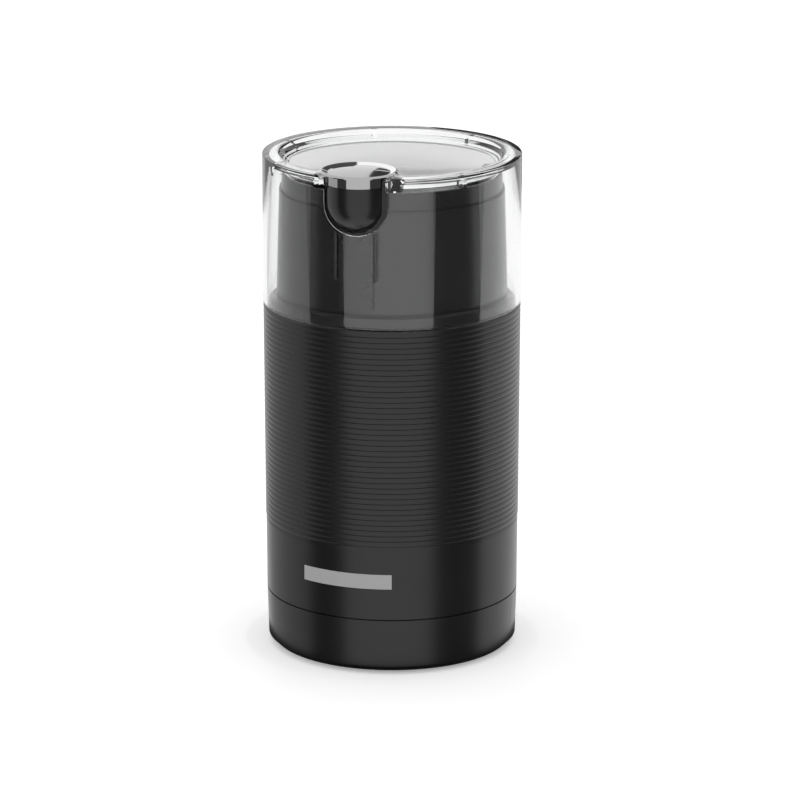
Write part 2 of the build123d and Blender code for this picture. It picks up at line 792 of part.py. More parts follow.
with BuildPart() as blade_nut:
    with BuildSketch(Plane.XY.offset(nut_z + fixed_gap)):
        RegularPolygon(nut_width / 2, 6, major_radius=False)
    extrude(amount=nut_height)
    with BuildSketch(Plane.XY.offset(nut_z + fixed_gap)):
        Circle(blade_seat_radius + running_gap)
    extrude(amount=nut_height * 0.8, mode=Mode.SUBTRACT)

# Lid: clear cap with a raised rim, a recessed top, gussets under the rim and a well for the button
lid_z = shoulder_z + seat_gap
plate_z = rim_z - lid_recess
plate_under_z = plate_z - lid_plate
well_radius = ring_radius + sliding_gap
barrel_hole = button_radius + barrel_gap
bullet_z = rim_z - button_drop + button_radius
ring_top_z = rim_z + ring_proud
ring_under_z = ring_top_z - ring_flange
ledge_z = ring_under_z - button_travel - sliding_gap
guide_place = (rod_width + guide_width) / 2 + sliding_gap
button_axis = Axis((0, -button_orbit, 0), (0, 0, 1))
button_plane = Plane.XZ.offset(button_orbit)
with BuildPart() as lid:
    with BuildSketch(Plane.XZ) as cap:
        with BuildLine():
            Polyline(
                (lid_radius, lid_z),
                (lid_radius, rim_z),
                (rim_inner_radius, rim_z),
                (recess_radius, plate_z),
                (0, plate_z),
                (0, plate_under_z),
                (recess_radius + recess_wall, plate_under_z),
                (recess_radius + recess_wall, rim_z - rim_plate),
                (lid_inner, rim_z - rim_plate),
                (lid_inner, lid_z),
                close=True,
            )
        make_face()
        chamfer(cap.vertices().group_by(Axis.Y)[-1].sort_by(Axis.X)[-1], lid_edge)
    revolve(axis=Axis.Z)
    with BuildSketch(Plane.XY.offset(plate_under_z)):
        with PolarLocations(
            (recess_radius + recess_wall + lid_inner) / 2,
            gusset_layout - 1,
            start_angle=-90 + 360 / gusset_layout,
            angular_range=360 - 720 / gusset_layout,
            endpoint=True,
        ):
            Rectangle(lid_inner - recess_radius - recess_wall + lid_wall / 2, gusset_width)
    extrude(amount=rim_z - rim_plate / 2 - plate_under_z)
    with BuildSketch(Plane.XY.offset(plate_under_z)):
        with Locations((0, -button_orbit)):
            Circle(well_radius + well_wall)
        Circle(lid_radius, mode=Mode.INTERSECT)
    extrude(amount=rim_z - lid_edge - plate_under_z)
    with BuildSketch(Plane.XY.offset(ledge_z)):
        with Locations((0, -button_orbit)):
            Circle(well_radius)
    extrude(amount=rim_z - ledge_z, mode=Mode.SUBTRACT)
    with BuildSketch(button_plane):
        with BuildLine():
            Line((0, rim_z), (0, bullet_z - button_travel - barrel_hole))
            CenterArc((0, bullet_z - button_travel), barrel_hole, -90, 90)
            Polyline((barrel_hole, bullet_z - button_travel), (barrel_hole, rim_z), (0, rim_z))
        make_face()
    revolve(axis=button_axis, mode=Mode.SUBTRACT)
    with BuildSketch(Plane.XY.offset(shoulder_z + guide_rise)):
        with Locations((guide_place, -rod_middle), (-guide_place, -rod_middle)):
            Rectangle(guide_width, lid_inner - collar_radius)
        Circle(collar_radius + 2 * sliding_gap, mode=Mode.SUBTRACT)
        Circle(lid_radius - lid_wall / 2, mode=Mode.INTERSECT)
    extrude(amount=guide_length)

# Button: a bullet that stands proud of the lid's wall, cut back inside to clear the collar
inside_z = lip_z + button_travel + sliding_gap
rod_inner = rod_middle - rod_thickness / 2
rod_outer = rod_middle + rod_thickness / 2
pin_top = flange_z + button_travel + seat_gap
rod_z = pin_top + seat_gap
band_z = ring_under_z - ring_band
band_inner = button_radius - ring_wall
dome_edge_z = ring_top_z - ring_fall
dome_z = dome_edge_z + dome_rise
dome_under_z = dome_edge_z - dome_plate
rod_top = bullet_z - button_radius + rod_grip
with BuildPart() as grind_button:
    with BuildSketch(button_plane):
        with BuildLine():
            CenterArc((0, bullet_z), button_radius, -90, 90)
            Polyline(
                (button_radius, bullet_z),
                (button_radius, band_z),
                (band_inner - fixed_gap, band_z),
                (band_inner - fixed_gap, dome_under_z - fixed_gap),
                (0, dome_under_z - fixed_gap),
                (0, bullet_z - button_radius),
            )
        make_face()
    revolve(axis=button_axis)
    with BuildSketch(Plane.XY.offset(inside_z)):
        Circle(rod_inner)
    extrude(amount=-button_drop, mode=Mode.SUBTRACT)
    with BuildSketch(Plane.XY.offset(rod_z)):
        Circle(rod_outer + fixed_gap)
        with Locations((0, -rod_middle)):
            Rectangle(rod_width + 2 * fixed_gap, 2 * rod_thickness + lid_wall, mode=Mode.INTERSECT)
    extrude(amount=rod_top + fixed_gap - rod_z, mode=Mode.SUBTRACT)

# Plated cap on the button: a bevelled ring, a band round the button and a low dome for the finger
with BuildPart() as button_ring:
    with BuildSketch(button_plane):
        with BuildLine():
            TangentArc((0, dome_z), (dome_radius, dome_edge_z), tangent=(1, 0))
            Polyline(
                (dome_radius, dome_edge_z),
                (dome_radius + ring_slope, ring_top_z),
                (ring_radius - ring_bevel, ring_top_z),
                (ring_radius, ring_top_z - ring_bevel),
                (ring_radius, ring_under_z),
                (button_radius, ring_under_z),
                (button_radius, band_z + fixed_gap),
                (band_inner, band_z + fixed_gap),
                (band_inner, dome_under_z),
                (0, dome_under_z),
                (0, dome_z),
            )
        make_face()
    revolve(axis=button_axis)

# Push rod from the button down to the switch pin, between the collar and the lid's wall
with BuildPart() as push_rod:
    with BuildSketch(Plane.XY.offset(rod_z)):
        Circle(rod_outer)
        Circle(rod_inner, mode=Mode.SUBTRACT)
        with Locations((0, -rod_middle)):
            Rectangle(rod_width, 2 * rod_thickness + lid_wall, mode=Mode.INTERSECT)
    extrude(amount=rod_top - rod_z)

# Switch: a pin through the collar's flange bends a leaf onto a fixed contact
leaf_z = collar_under_z - leaf_drop
leaf_tip = body_inner - 2 * seat_gap
with BuildPart() as switch_pin:
    with BuildSketch(Plane.XY.offset(leaf_z + leaf_thickness / 2 + seat_gap)):
        with Locations((0, -pin_orbit)):
            Circle(pin_radius)
    extrude(amount=pin_top - leaf_z - leaf_thickness / 2 - seat_gap)

with BuildPart() as switch_block:
    with BuildSketch(Plane.XY.offset(collar_under_z - block_height)):
        with Locations((0, post_place)):
            Rectangle(block_width, block_depth)
            Circle(mount_screw_radius + fixed_gap, mode=Mode.SUBTRACT)
    extrude(amount=block_height - fixed_gap)
    with BuildSketch(Plane.XY.offset(collar_under_z - block_post_height - fixed_gap)):
        with Locations((0, post_place)):
            Circle(block_post_radius + fixed_gap)
    extrude(amount=block_post_height, mode=Mode.SUBTRACT)

with BuildPart() as switch_screw:
    with BuildSketch(Plane.XY.offset(collar_under_z - block_height)):
        with Locations((0, post_place)):
            Circle(screw_head_radius)
    extrude(amount=-screw_head_height)
    with BuildSketch(Plane.XY.offset(collar_under_z - block_height)):
        with Locations((0, post_place)):
            Circle(mount_screw_radius)
    extrude(amount=block_height - fixed_gap)

with BuildPart() as switch_leaf:
    with BuildSketch(Plane.XY.offset(leaf_z)):
        with Locations((0, -(pivot_y + leaf_tip) / 2)):
            Rectangle(leaf_width, leaf_tip - pivot_y)
    extrude(amount=leaf_thickness / 2, both=True)

pin_arm = pin_orbit - pivot_y
contact_arm = contact_place - fixed_gap
contact_drop = button_travel * (contact_arm + contact_radius) / pin_arm + fixed_gap
contact_z = leaf_z - leaf_thickness / 2 - contact_drop
contact_base_z = contact_z - 2 * leaf_thickness
with BuildPart() as fixed_contact:
    with BuildSketch(Plane.XY.offset(contact_base_z)):
        with Locations((0, -(block_front + contact_reach / 2))):
            Rectangle(leaf_width, contact_reach)
    extrude(amount=-leaf_thickness)
    with BuildSketch(Plane.XY.offset(contact_base_z)):
        with Locations((0, -(block_front + contact_place))):
            Circle(contact_radius)
    extrude(amount=contact_z - contact_base_z)

pieces = {
    "base_cover": base_cover,
    "feet": feet,
    "base_screws": base_screws,
    "cord_gland": cord_gland,
    "body_shell": body_shell,
    "bowl_collar": bowl_collar,
    "grinding_bowl": grinding_bowl,
    "bowl_bush": bowl_bush,
    "shaft_seal": shaft_seal,
    "stator_core": stator_core,
    "field_coils": field_coils,
    "motor_top_bracket": motor_top_bracket,
    "motor_bottom_bracket": motor_bottom_bracket,
    "top_bearing": top_bearing,
    "bottom_bearing": bottom_bearing,
    "motor_bolts": motor_bolts,
    "motor_dampers": motor_dampers,
    "motor_mount_screws": motor_mount_screws,
    "lower_damper": lower_damper,
    "brush_holders": brush_holders,
    "carbon_brushes": carbon_brushes,
    "brush_springs": brush_springs,
    "motor_shaft": motor_shaft,
    "armature_core": armature_core,
    "armature_windings": armature_windings,
    "commutator": commutator,
    "cooling_fan": cooling_fan,
    "blade_spacer": blade_spacer,
    "blade": blade,
    "blade_nut": blade_nut,
    "lid": lid,
    "grind_button": grind_button,
    "button_ring": button_ring,
    "push_rod": push_rod,
    "switch_pin": switch_pin,
    "switch_block": switch_block,
    "switch_screw": switch_screw,
    "switch_leaf": switch_leaf,
    "fixed_contact": fixed_contact,
}
for name, piece in pieces.items():
    piece.part.label = name
    export_step(piece.part, f"parts/{name}.step")
    print(name, len(piece.part.solids()), round(piece.part.volume, 1))
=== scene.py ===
# %% [markdown]
# # A blade coffee grinder, dressed for the camera
# The CAD model fixes every size and every joint. This lesson adds what the solids leave out: the
# fine grip ribs, rounded edges, clear plastic, the bare badge plate, the finishes and the studio.

import json
import math

import bmesh
import bpy
from mathutils import Matrix, Vector


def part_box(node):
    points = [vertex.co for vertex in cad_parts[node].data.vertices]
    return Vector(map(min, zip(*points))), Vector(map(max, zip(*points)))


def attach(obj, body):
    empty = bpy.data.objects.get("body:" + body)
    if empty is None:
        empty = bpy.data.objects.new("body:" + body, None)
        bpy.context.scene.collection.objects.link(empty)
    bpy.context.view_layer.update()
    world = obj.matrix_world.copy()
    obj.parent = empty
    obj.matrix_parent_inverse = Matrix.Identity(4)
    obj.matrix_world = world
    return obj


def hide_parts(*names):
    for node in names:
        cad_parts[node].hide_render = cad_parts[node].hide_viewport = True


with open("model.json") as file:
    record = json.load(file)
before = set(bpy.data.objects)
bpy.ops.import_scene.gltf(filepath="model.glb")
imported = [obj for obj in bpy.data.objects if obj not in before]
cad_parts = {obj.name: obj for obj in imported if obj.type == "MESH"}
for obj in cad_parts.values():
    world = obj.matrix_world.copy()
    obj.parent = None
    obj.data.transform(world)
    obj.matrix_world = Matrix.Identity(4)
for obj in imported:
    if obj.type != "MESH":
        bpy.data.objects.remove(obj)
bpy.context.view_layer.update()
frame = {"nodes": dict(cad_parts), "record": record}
mm = 0.001

# %% [markdown]
# ## Heights and radii
# Each new piece has to sit exactly where its solid sits, so the main sizes are read from the boxes
# of the solids and not typed in again. Only details that the solids don't have get sizes here.

# %% Read the main sizes from the solids
lid_low, lid_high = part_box("lid")
body_low, body_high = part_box("body_shell")
base_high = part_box("base_cover")[1]
lid_radius, base_radius = lid_high.x, base_high.x
lid_z, rim_z = lid_low.z, lid_high.z
seam_z, shoulder_z = body_low.z, body_high.z
print("lid radius", round(lid_radius / mm, 2), "base radius", round(base_radius / mm, 2))
print("seam", round(seam_z / mm, 2), "shoulder", round(shoulder_z / mm, 2))

# %% [markdown]
# ## Turning a profile
# Nearly every outer piece is round, like work from a lathe. A few points are drawn in the XZ plane
# and the spin operator sweeps them once round the Z axis. A full spin needs use_merge, so that the
# last step closes on the first, and the normals are made to agree after that.

# %% A lathe for closed profiles
crease_angle = 35


def finished(name, bm, sharp_angle=crease_angle):
    """Makes an object of a bmesh, smooth apart from edges sharper than the angle in degrees."""
    bmesh.ops.remove_doubles(bm, verts=bm.verts, dist=1e-7)
    bmesh.ops.dissolve_degenerate(bm, edges=bm.edges, dist=1e-7)
    bmesh.ops.recalc_face_normals(bm, faces=bm.faces)
    mesh = bpy.data.meshes.new(name)
    bm.to_mesh(mesh)
    bm.free()
    mesh.shade_smooth()
    mesh.set_sharp_from_angle(angle=math.radians(sharp_angle))
    piece = bpy.data.objects.new(name, mesh)
    bpy.context.collection.objects.link(piece)
    return piece


def spun(points, steps, centre=(0, 0, 0)):
    """A bmesh of a closed (radius, height) outline spun once round a vertical axis."""
    bm = bmesh.new()
    ring = [bm.verts.new((centre[0] + radius, centre[1], height)) for radius, height in points]
    edges = [bm.edges.new((ring[place - 1], ring[place])) for place in range(len(ring))]
    bmesh.ops.spin(
        bm, geom=ring + edges, cent=centre, axis=(0, 0, 1), angle=2 * math.pi, steps=steps, use_merge=True
    )
    return bm


def round_over(bm, radius, height, size, segments):
    """Rounds the ring of edges at one radius and height."""
    def on_ring(vert):
        away = math.hypot(vert.co.x, vert.co.y)
        return abs(away - radius) < 1e-5 and abs(vert.co.z - height) < 1e-5

    edges = [edge for edge in bm.edges if all(on_ring(vert) for vert in edge.verts)]
    bmesh.ops.bevel(
        bm, geom=edges, offset=size, offset_type="OFFSET", affect="EDGES",
        segments=segments, profile=0.5, material=-1,
    )
    print("rounded edges:", len(edges))


# %% [markdown]
# ## The ribbed body
# The real shell has forty shallow ribs that run round it like stacked cushions, with a thin dark
# groove between each two. The solid has the same grip with fewer ribs. Here a formula draws the
# whole outline, one swelling for each rib, and the lathe makes the rest.

# %% Body shell with all its ribs
rib_count = 40
rib_pitch = 1.95 * mm
rib_start = 2.4 * mm
rib_rise = 0.2 * mm
rib_depth = 0.35 * mm
rib_shares = (0, 0.04, 0.12, 0.3, 0.5, 0.7, 0.88, 0.96)
body_top_radius = body_high.x - rib_rise
body_wall = 2.6 * mm
top_round = 0.35 * mm
body_steps = 256


def plain_radius(height):
    """Radius of the body's tapered wall at a height."""
    share = (height - seam_z) / (shoulder_z - seam_z)
    return base_radius + (body_top_radius - base_radius) * share


def swelling(share):
    """Height of a rib above its groove, for a share of the way from one groove to the next."""
    return rib_depth * math.sin(math.pi * share) ** 0.4


groove = rib_rise - rib_depth
inner_radius = base_radius - body_wall
body_line = [(inner_radius, seam_z), (base_radius, seam_z)]
last_groove = shoulder_z - rib_start - (rib_count - 1) * rib_pitch
body_line.append((plain_radius(last_groove - rib_pitch), last_groove - rib_pitch))
body_line.append((plain_radius(last_groove) - groove / 4, last_groove - rib_pitch / 8))
for rib in range(rib_count - 1):
    low = last_groove + rib * rib_pitch
    for share in rib_shares:
        height = low + share * rib_pitch
        body_line.append((plain_radius(height) + groove + swelling(share), height))
first_groove = shoulder_z - rib_start
body_line.append((plain_radius(first_groove) + groove, first_groove))
for share in rib_shares[1:5]:
    height = first_groove + share * rib_pitch
    body_line.append((plain_radius(height) + groove + swelling(share), height))
body_line.append((plain_radius(shoulder_z) + rib_rise, shoulder_z - top_round))
body_line.append((plain_radius(shoulder_z) + rib_rise - top_round, shoulder_z))
body_line.append((inner_radius, shoulder_z))
ribbed_body = finished("ribbed_body", spun(body_line, body_steps), 60)
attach(ribbed_body, "housing")
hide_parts("body_shell")
print("ribbed body faces:", len(ribbed_body.data.polygons))

# %% [markdown]
# ## Joining and cutting clear plastic
# Light bends at every surface of clear plastic, so the lid has to be one closed skin: two shapes
# that only overlap would show their hidden walls. The boolean modifier joins or cuts two closed
# meshes, and its result is kept as a plain mesh.


# %% Keep the result of a boolean
def combine(target, tool, operation):
    """Joins a closed mesh to another, or cuts it from it, and removes the tool."""
    modifier = target.modifiers.new("combine", "BOOLEAN")
    modifier.operation = operation
    modifier.solver = "EXACT"
    modifier.object = tool
    graph = bpy.context.evaluated_depsgraph_get()
    result = bpy.data.meshes.new_from_object(target.evaluated_get(graph))
    target.modifiers.clear()
    target.data = result
    bpy.data.objects.remove(tool)


# %% [markdown]
# ## The clear lid
# The lid is a tall clear cap whose rim stands up round a sunken top. Its wall and its top are one
# outline, so the lathe turns both at once. The edges are rounded afterwards, because on clear
# plastic every edge shows as a fine bright or dark line.

# %% Turn the lid
lid_wall = 2.6 * mm
lid_inner = lid_radius - lid_wall
rim_inner = 39.9 * mm
recess_radius = 38.3 * mm
recess_wall = 2.0 * mm
recess_drop = 3.0 * mm
recess_outer = recess_radius + recess_wall
top_plate = 2.2 * mm
rim_plate = 2.4 * mm
rim_round = 0.4 * mm
rim_inner_round = 0.5 * mm
recess_round = 2.4 * mm
recess_outer_round = 1.2 * mm
foot_round = 0.4 * mm
lid_steps = 240
plate_z = rim_z - recess_drop
lid_line = [
    (lid_radius, lid_z),
    (lid_radius, rim_z),
    (rim_inner, rim_z),
    (recess_radius, plate_z),
    (0, plate_z),
    (0, plate_z - top_plate),
    (recess_outer, plate_z - top_plate),
    (recess_outer, rim_z - rim_plate),
    (lid_inner, rim_z - rim_plate),
    (lid_inner, lid_z),
]
lid_mesh = spun(lid_line, lid_steps)
bmesh.ops.remove_doubles(lid_mesh, verts=lid_mesh.verts, dist=1e-7)
round_over(lid_mesh, lid_radius, rim_z, rim_round, 4)
round_over(lid_mesh, rim_inner, rim_z, rim_inner_round, 3)
round_over(lid_mesh, recess_radius, plate_z, recess_round, 8)
round_over(lid_mesh, recess_outer, plate_z - top_plate, recess_outer_round, 6)
round_over(lid_mesh, lid_radius, lid_z, foot_round, 3)
clear_lid = finished("clear_lid", lid_mesh)
print("lid faces:", len(clear_lid.data.polygons))

# %% [markdown]
# ## Gussets
# Six small gussets stiffen the rim from below. They and the button share the rim evenly, so there
# are seven places and the first one stays free. Each is a block that reaches a little into both
# walls, because the boolean joins shapes that overlap more safely than shapes that only touch.

# %% Add the gussets under the rim
gusset_places = 7
gusset_width = 1.8 * mm
gusset_drop = recess_drop + top_plate
gusset_bite = 0.3 * mm
gusset_reach = (recess_outer - gusset_bite, lid_inner + gusset_bite)
gusset_size = Vector((gusset_reach[1] - gusset_reach[0], gusset_width, gusset_drop - rim_plate / 2))
gusset_middle = Vector((sum(gusset_reach) / 2, 0, rim_z - (gusset_drop + rim_plate / 2) / 2))
gusset_shape = Matrix.Translation(gusset_middle) @ Matrix.Diagonal(gusset_size.to_4d())
for place in range(1, gusset_places):
    turned = Matrix.Rotation(math.radians(-90 + 360 * place / gusset_places), 4, "Z")
    bm = bmesh.new()
    bmesh.ops.create_cube(bm, size=1)
    bmesh.ops.transform(bm, matrix=turned @ gusset_shape, verts=bm.verts)
    combine(clear_lid, finished("gusset", bm), "UNION")
print("lid with gussets:", len(clear_lid.data.polygons))

# %% [markdown]
# ## The well for the button
# A round well at the front holds the button. It is a solid tube first, trimmed to the lid's outside
# and joined to it, and then the button's own form is cut out with a sliding gap and room for its
# stroke. The cut goes through the lid's wall, so the button stands out at the front.

# %% Cut the well for the button
button_orbit = 39.0 * mm
button_centre = (0, -button_orbit, 0)
button_radius = 11.4 * mm
button_length = 20.6 * mm
button_travel = 1.0 * mm
button_steps = 96
arc_steps = 12
ring_low, ring_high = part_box("button_ring")
ring_radius = ring_high.x
ring_flange = 0.9 * mm
sliding_gap = 0.4 * mm
barrel_gap = 0.3 * mm
skin_gap = 0.02 * mm
well_wall = 1.5 * mm
well_radius = ring_radius + sliding_gap
well_z, well_top = plate_z - top_plate, rim_z - rim_round
ledge_z = ring_high.z - ring_flange - button_travel - sliding_gap
cut_top = rim_z + rim_plate
tube_radius = well_radius + well_wall
trim_radius = lid_radius - skin_gap
tube_line = [(0, well_z), (tube_radius, well_z), (tube_radius, well_top), (0, well_top)]
trim_line = [(0, lid_z), (trim_radius, lid_z), (trim_radius, rim_z), (0, rim_z)]
tube = finished("well_tube", spun(tube_line, button_steps, button_centre))
combine(tube, finished("well_trim", spun(trim_line, lid_steps)), "INTERSECT")
combine(clear_lid, tube, "UNION")
barrel_hole = button_radius + barrel_gap
round_end = rim_z - button_length + button_radius - button_travel
hole_line = [(0, round_end - barrel_hole)]
for step in range(1, arc_steps + 1):
    angle = math.radians(90 * step / arc_steps)
    hole_line.append((barrel_hole * math.sin(angle), round_end - barrel_hole * math.cos(angle)))
hole_line += [(barrel_hole, ledge_z), (well_radius, ledge_z), (well_radius, cut_top), (0, cut_top)]
combine(clear_lid, finished("button_hole", spun(hole_line, button_steps, button_centre)), "DIFFERENCE")
clear_lid.data.shade_smooth()
clear_lid.data.set_sharp_from_angle(angle=math.radians(crease_angle))
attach(clear_lid, "lid")
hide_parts("lid")
print("lid with its well:", len(clear_lid.data.polygons))

# %% [markdown]
# ## Light through the lid
# The bowl stands under the clear lid and is lit through it. A renderer rarely finds the way of
# scattered light through two bent surfaces, and the bowl would stay too dark. So scattered light and
# shadows pass the lid as if it weren't there, while the camera still sees its gloss and its bends.

# %% Let the light in
clear_lid.visible_diffuse = False
clear_lid.visible_shadow = False
print("light passes:", clear_lid.name)

# %% [markdown]
# ## The plated cap of the button
# The cap is a low dome inside a ring that slopes gently inwards. Slope and dome tilt in opposite
# ways, so one mirrors the dark side of the room on the left and the other on the right. The slope
# is shallower than on the solid, because only a shallow one mirrors what stands behind the lid.

# %% Turn the plated cap
dome_radius = 10.9 * mm
dome_plate = 2.2 * mm
dome_rise = 0.72 * mm
slope_top = 12.8 * mm
ring_edge = 0.6 * mm
band_wall = 0.9 * mm
band_inner = button_radius - band_wall
cap_top = ring_high.z
cap_steps = 128
dome_bend = (dome_radius ** 2 + dome_rise ** 2) / (2 * dome_rise)
cap_line = [(0, cap_top - dome_plate)]
for step in range(arc_steps + 1):
    away = dome_radius * step / arc_steps
    cap_line.append((away, cap_top - dome_bend + math.sqrt(dome_bend ** 2 - away ** 2)))
cap_line += [
    (slope_top, cap_top),
    (ring_radius, cap_top - ring_edge),
    (ring_radius, cap_top - ring_flange),
    (button_radius, cap_top - ring_flange),
    (button_radius, ring_low.z),
    (band_inner, ring_low.z),
    (band_inner, cap_top - dome_plate),
]
plated_cap = finished("plated_cap", spun(cap_line, cap_steps, button_centre), 8)
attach(plated_cap, "button")
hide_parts("button_ring")
print("cap faces:", len(plated_cap.data.polygons))

# %% [markdown]
# ## Guides for the push rod
# Two thin upright ribs just inside the lid keep the push rod from swinging sideways. They are dark
# like the rod, because clear ribs would shine. Each is a plain block with bevelled edges.

# %% Make the guide ribs
rod_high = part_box("push_rod")[1]
guide_width = 1.2 * mm
guide_gap = 0.4 * mm
guide_place = rod_high.x + guide_gap + guide_width / 2
guide_reach = (lid_inner - 2.1 * mm, lid_inner - 0.35 * mm)
guide_low, guide_high = shoulder_z + 17.2 * mm, shoulder_z + 34.2 * mm
guide_edge = 0.15 * mm
guide_size = Vector((guide_width, guide_reach[1] - guide_reach[0], guide_high - guide_low))
blocks = bmesh.new()
for side in (-1, 1):
    middle = Vector((side * guide_place, -sum(guide_reach) / 2, (guide_low + guide_high) / 2))
    shape = Matrix.Translation(middle) @ Matrix.Diagonal(guide_size.to_4d())
    bmesh.ops.create_cube(blocks, size=1, matrix=shape)
bmesh.ops.bevel(
    blocks, geom=blocks.edges[:], offset=guide_edge, offset_type="OFFSET", affect="EDGES",
    segments=2, profile=0.5, material=-1,
)
rod_guides = finished("rod_guides", blocks)
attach(rod_guides, "lid")
print("guide faces:", len(rod_guides.data.polygons))

# %% [markdown]
# ## The badge plate
# A thin satin plate is glued to the body below the ribs, a little to the left of the button. It is
# curved like the wall, so a narrow strip is swept by part of a turn instead of being bent.

# %% Sweep the badge plate
badge_low, badge_high = 31.95 * mm, 37.25 * mm
badge_length = 33.9 * mm
badge_middle = -90 - 4.6
badge_proud = 0.25 * mm
badge_steps = 40
badge_radius = plain_radius((badge_low + badge_high) / 2)
badge_turn = badge_length / badge_radius
corners = [
    (badge_radius - badge_proud, badge_low),
    (badge_radius + badge_proud, badge_low),
    (badge_radius + badge_proud, badge_high),
    (badge_radius - badge_proud, badge_high),
]
strip = bmesh.new()
face = strip.faces.new([strip.verts.new((radius, 0, height)) for radius, height in corners])
start = Matrix.Rotation(math.radians(badge_middle) - badge_turn / 2, 4, "Z")
bmesh.ops.transform(strip, matrix=start, verts=strip.verts)
bmesh.ops.spin(
    strip, geom=[face], cent=(0, 0, 0), axis=(0, 0, 1), angle=badge_turn, steps=badge_steps, use_merge=False
)
badge_plate = finished("badge_plate", strip, 40)
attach(badge_plate, "housing")
print("badge faces:", len(badge_plate.data.polygons))

# %% [markdown]
# ## Shader maths that reads like maths
# A finish is a small graph of nodes. Wrapping a node's output in a class with plus, minus, times and
# the signs for more and less keeps the graph as short as the sum it stands for.


# %% A wrapper for node outputs
class Wire:
    """One output of a shader node, which can be added, multiplied and so on like a number."""

    def __init__(self, tree, socket):
        self.tree = tree
        self.socket = socket

    def maths(self, operation, first, second):
        node = self.tree.nodes.new("ShaderNodeMath")
        node.operation = operation
        for place, value in zip(node.inputs, (first, second)):
            if isinstance(value, Wire):
                self.tree.links.new(value.socket, place)
            else:
                place.default_value = value
        return Wire(self.tree, node.outputs[0])

    def __add__(self, other):
        return self.maths("ADD", self, other)

    def __radd__(self, other):
        return self.maths("ADD", other, self)

    def __sub__(self, other):
        return self.maths("SUBTRACT", self, other)

    def __rsub__(self, other):
        return self.maths("SUBTRACT", other, self)

    def __mul__(self, other):
        return self.maths("MULTIPLY", self, other)

    def __rmul__(self, other):
        return self.maths("MULTIPLY", other, self)

    def __gt__(self, other):
        return self.maths("GREATER_THAN", self, other)

    def __lt__(self, other):
        return self.maths("LESS_THAN", self, other)

    def through(self, kind, place, output=0, **values):
        """Feeds this output into a new node of any kind and returns one of that node's outputs."""
        node = self.tree.nodes.new(kind)
        for name, value in values.items():
            if name in node.inputs:
                node.inputs[name].default_value = value
            else:
                setattr(node, name, value)
        self.tree.links.new(self.socket, node.inputs[place])
        return Wire(self.tree, node.outputs[output])

    def into(self, node, place):
        self.tree.links.new(self.socket, node.inputs[place])


def new_finish(name, colour, roughness, **sockets):
    """A material and its principled shader, with the sockets that are given."""
    material = bpy.data.materials.new(name)
    material.use_nodes = True
    shader = material.node_tree.nodes["Principled BSDF"]
    shader.inputs["Base Color"].default_value = (*colour, 1)
    shader.inputs["Roughness"].default_value = roughness
    for socket, value in sockets.items():
        shader.inputs[socket.replace("_", " ")].default_value = value
    return material, shader


def place_on(material):
    """The place on the piece, as a wire for patterns."""
    tree = material.node_tree
    return Wire(tree, tree.nodes.new("ShaderNodeTexCoord").outputs["Object"])


def ray_kind(material, output):
    """What has become of the ray that meets the surface, as a wire."""
    tree = material.node_tree
    return Wire(tree, tree.nodes.new("ShaderNodeLightPath").outputs[output])


# %% [markdown]
# ## Plain finishes
# The outside is satin moulded plastic: its gloss wanders a little and it has a very fine grain. The
# metals have brush lines or a dull cast skin. Each finish gets its small unevenness from a noise
# that is fixed to the piece, so it stays in place when the piece moves.


# %% Plastics, rubber and metals
def moulded(name, colour, roughness, grain_size, grain_depth, wander=0.04, index=1.5):
    """Moulded plastic or rubber with a fine grain and slightly uneven gloss."""
    material, shader = new_finish(name, colour, roughness, IOR=index)
    place = place_on(material)
    cloud = place.through("ShaderNodeTexNoise", "Vector", Scale=60, Detail=3)
    (cloud * (2 * wander) + (roughness - wander)).into(shader, "Roughness")
    grain = place.through("ShaderNodeTexNoise", "Vector", Scale=1 / grain_size, Detail=2)
    grain.through("ShaderNodeBump", "Height", Distance=grain_depth, Strength=1.0).into(shader, "Normal")
    return material


def clear(name, tint):
    """Clear moulded plastic, faintly uneven so that its gloss isn't perfect."""
    material, shader = new_finish(name, tint, 0.0, Transmission_Weight=1.0, IOR=1.47)
    cloud = place_on(material).through("ShaderNodeTexNoise", "Vector", Scale=25, Detail=1)
    (cloud * 0.02).into(shader, "Roughness")
    return material


def metal(name, colour, roughness, stretch):
    """Metal with fine lines along or round the piece, given by how the noise is stretched."""
    material, shader = new_finish(name, colour, roughness, Metallic=1.0)
    lines = place_on(material).through("ShaderNodeMapping", "Vector", Scale=stretch)
    lines = lines.through("ShaderNodeTexNoise", "Vector", Scale=900, Detail=2)
    (lines * (0.6 * roughness) + 0.7 * roughness).into(shader, "Roughness")
    return material


# %% [markdown]
# ## Finishes that change on one piece
# The bowl is polished where the beans turn and blasted matt near its edge, and the button's cap is
# dark with a bright ring. Both are one piece of metal in two finishes, so the shader asks where on
# the piece it is, and no second piece is needed.


# %% Steel of the bowl and plating of the cap
def bowl_steel(name, colour, polish, matt, low, high):
    """Steel that is polished below one height and blasted matt above another."""
    material, shader = new_finish(name, colour, polish, Metallic=1.0)
    height = place_on(material).through("ShaderNodeSeparateXYZ", "Vector", "Z")
    blasted = height.through("ShaderNodeMapRange", "Value", **{"From Min": low, "From Max": high})
    (1 - blasted).into(shader, "Metallic")
    (blasted * (matt - polish) + polish).into(shader, "Roughness")
    return material


